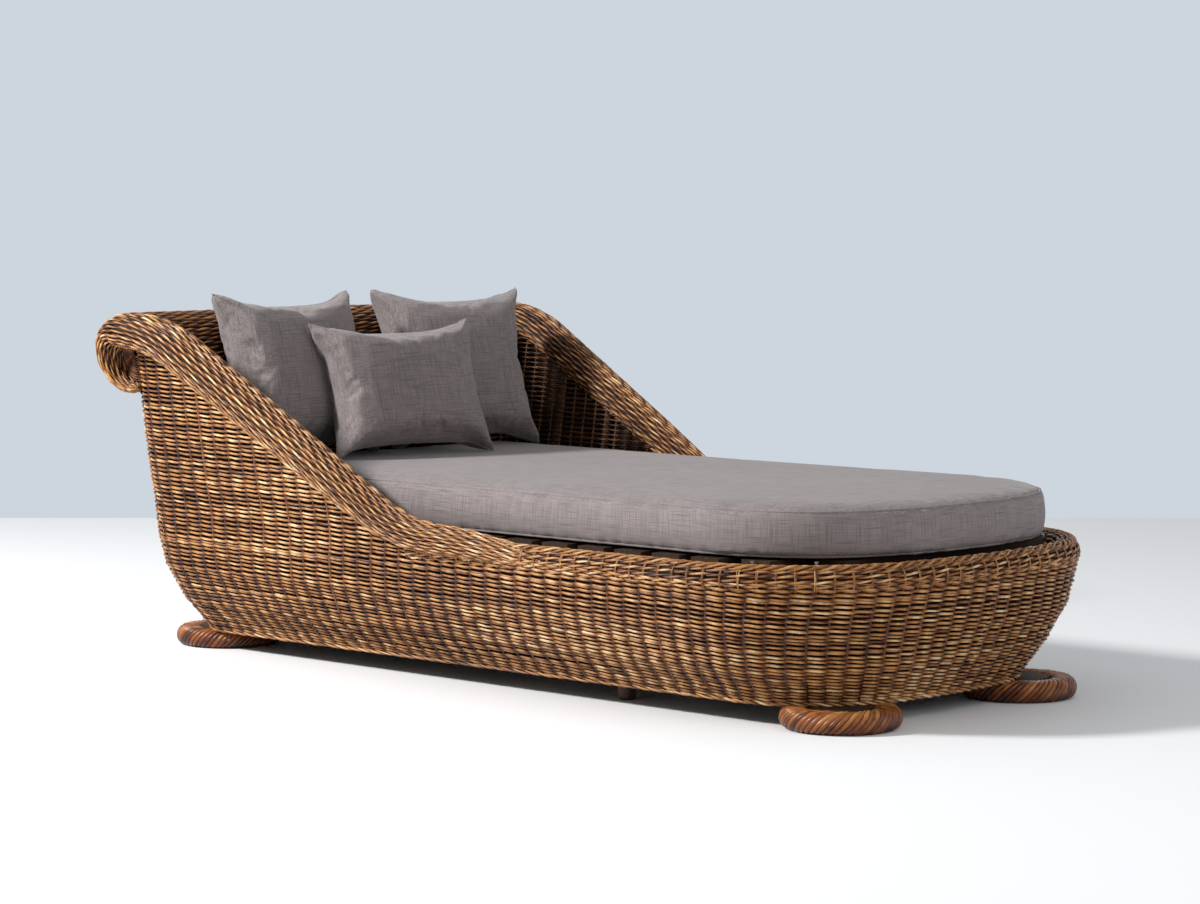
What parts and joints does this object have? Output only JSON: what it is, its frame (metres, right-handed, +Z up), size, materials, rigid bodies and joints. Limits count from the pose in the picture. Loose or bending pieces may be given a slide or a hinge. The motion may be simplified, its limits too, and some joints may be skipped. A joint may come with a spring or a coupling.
{
  "type": "rattan sun lounger",
  "caption": "Woven rattan daybed on wound ring feet, with rolled arms sloping up to a rolled headrest, a slatted deck, a boxed mattress and loose pillows.",
  "frame": {"origin": "on the floor, under the middle of the whole lounger's box", "axes": "+X from the head end to the foot end, +Y to the left of a person who sits up against the headrest, +Z up"},
  "size_m": [2.1022, 1.2926, 0.8087],
  "materials": {
    "woven_rattan": "natural woven rattan core, satin, golden tan to brown",
    "wound_cane": "wound cane with the peel on, satin to glossy, orange brown",
    "rattan_pole": "peeled rattan pole, matt",
    "slat_wood": "planed softwood, unfinished",
    "dark_wood": "dark stained turned wood, satin",
    "glide": "dark moulded plastic",
    "steel": "zinc plated",
    "linen": "plain taupe grey linen weave"
  },
  "bodies": {
    "root": {"arm_curl_left": "woven_rattan", "arm_curl_right": "woven_rattan", "arm_panel_left": "woven_rattan", "arm_panel_right": "woven_rattan", "arm_pole_left": "rattan_pole", "arm_pole_right": "rattan_pole", "arm_posts_left": "rattan_pole", "arm_posts_right": "rattan_pole", "arm_roll_left": "woven_rattan", "arm_roll_right": "woven_rattan", "back_panel": "woven_rattan", "back_posts": "rattan_pole", "base_cross_beams": "rattan_pole", "base_foot_bow": "rattan_pole", "base_head_bow": "rattan_pole", "base_pole_left": "rattan_pole", "base_pole_right": "rattan_pole", "centre_posts": "rattan_pole", "deck_centre_pole": "rattan_pole", "deck_foot_bow": "rattan_pole", "deck_head_beam": "rattan_pole", "deck_pole_left": "rattan_pole", "deck_pole_right": "rattan_pole", "deck_slats": "slat_wood", "foot_bolts": "steel", "foot_cores": "slat_wood", "foot_posts": "rattan_pole", "head_posts": "rattan_pole", "headrest_end_left": "woven_rattan", "headrest_end_right": "woven_rattan", "headrest_formers": "slat_wood", "headrest_pole": "rattan_pole", "headrest_roll": "woven_rattan", "middle_leg_glides": "glide", "middle_leg_left": "dark_wood", "middle_leg_right": "dark_wood", "outer_wall_foot": "woven_rattan", "outer_wall_head": "woven_rattan", "outer_wall_left": "woven_rattan", "outer_wall_right": "woven_rattan", "rim_pole": "rattan_pole", "rim_roll_foot": "woven_rattan", "rim_roll_left": "woven_rattan", "rim_roll_right": "woven_rattan", "ring_foot_foot_end_left": "wound_cane", "ring_foot_foot_end_right": "wound_cane", "ring_foot_head_end_left": "wound_cane", "ring_foot_head_end_right": "wound_cane", "side_posts_left": "rattan_pole", "side_posts_right": "rattan_pole", "side_stringer_left": "rattan_pole", "side_stringer_right": "rattan_pole", "slat_screws": "steel"},
    "mattress": {"mattress": "linen"},
    "rear_pillow_left": {"rear_pillow_left": "linen"},
    "rear_pillow_right": {"rear_pillow_right": "linen"},
    "front_pillow": {"front_pillow": "linen"}
  },
  "joints": [
    {"name": "mattress_lift", "type": "slide", "parent": "root", "child": "mattress", "axis": [0, 0, 1], "range_m": [0, 0.3]},
    {"name": "rear_pillow_left_lift", "type": "slide", "parent": "mattress", "child": "rear_pillow_left", "axis": [0, 0, 1], "range_m": [0, 0.35]},
    {"name": "rear_pillow_right_lift", "type": "slide", "parent": "mattress", "child": "rear_pillow_right", "axis": [0, 0, 1], "range_m": [0, 0.35]},
    {"name": "front_pillow_lift", "type": "slide", "parent": "rear_pillow_right", "child": "front_pillow", "axis": [0.809, 0, 0.5878], "range_m": [0, 0.4]}
  ],
  "couplings": [
    {"joint": "rear_pillow_left_lift", "follows": "rear_pillow_right_lift", "ratio": 1}
  ]
}
